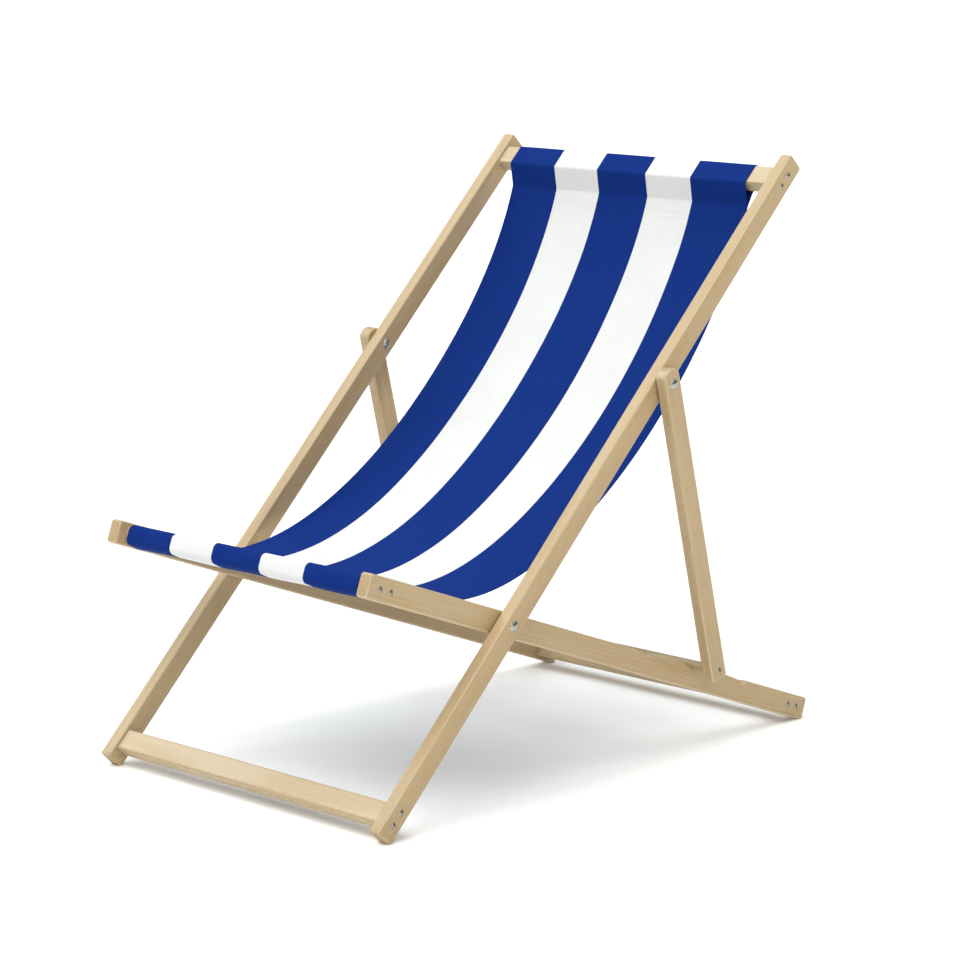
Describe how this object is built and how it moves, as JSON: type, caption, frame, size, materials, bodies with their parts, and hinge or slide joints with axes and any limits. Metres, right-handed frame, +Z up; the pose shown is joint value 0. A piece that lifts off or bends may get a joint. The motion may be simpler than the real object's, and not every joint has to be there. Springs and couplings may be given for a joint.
{
  "type": "folding deck chair",
  "caption": "Folding wooden deck chair: back frame, crossing seat frame and a prop frame that drops into notches, with a striped canvas sling hung between two slats",
  "frame": {"origin": "on the floor, under the middle of the chair's box, as it stands open", "axes": "+Z up, the front of the seat faces -Y, +X runs across the chair; its left and right are named by -X and +X"},
  "size_m": [0.5714, 0.8278, 0.776],
  "materials": {
    "back_wood": "pale beech, sanded smooth, unvarnished",
    "seat_wood": "pale beech, sanded smooth, unvarnished",
    "prop_wood": "pale beech, sanded smooth, unvarnished",
    "slat_wood": "pale beech, sanded smooth, unvarnished",
    "crossbar_wood": "pale beech dowel, sanded smooth",
    "zinc_screws": "zinc-plated dome heads with hex sockets",
    "zinc_bolts": "zinc-plated dome-head bolts and barrel nuts",
    "washers": "pale nylon spacer washers",
    "sling_cloth": "woven canvas in blue and white stripes"
  },
  "bodies": {
    "back_frame": {"back_rail_left": "back_wood", "back_rail_right": "back_wood", "top_slat": "slat_wood", "bottom_slat": "slat_wood", "top_slat_screws": "zinc_screws", "bottom_slat_screws": "zinc_screws", "main_bolt_left": "zinc_bolts", "main_bolt_right": "zinc_bolts", "main_washer_left": "washers", "main_washer_right": "washers", "main_nut_left": "zinc_bolts", "main_nut_right": "zinc_bolts", "prop_bolt_left": "zinc_bolts", "prop_bolt_right": "zinc_bolts", "prop_washer_left": "washers", "prop_washer_right": "washers", "prop_nut_left": "zinc_bolts", "prop_nut_right": "zinc_bolts", "sling": "sling_cloth"},
    "seat_frame": {"seat_rail_left": "seat_wood", "seat_rail_right": "seat_wood", "front_bar": "slat_wood", "rear_slat": "slat_wood", "front_bar_screws": "zinc_screws", "rear_slat_screws": "zinc_screws"},
    "prop_frame": {"prop_leg_left": "prop_wood", "prop_leg_right": "prop_wood", "prop_crossbar": "crossbar_wood", "crossbar_screws": "zinc_screws"}
  },
  "joints": [
    {"name": "seat_fold", "type": "hinge", "parent": "back_frame", "child": "seat_frame", "pos_m": [0, -0.18193, 0.23197], "axis": [1, 0, 0], "range_deg": [0, 60], "deforming": ["sling"]},
    {"name": "prop_swing", "type": "hinge", "parent": "back_frame", "child": "prop_frame", "pos_m": [0, 0.08877, 0.50362], "axis": [1, 0, 0], "range_deg": [0, 123]}
  ],
  "couplings": [
    {"joint": "prop_swing", "follows": "seat_fold", "ratio": 2.05}
  ]
}
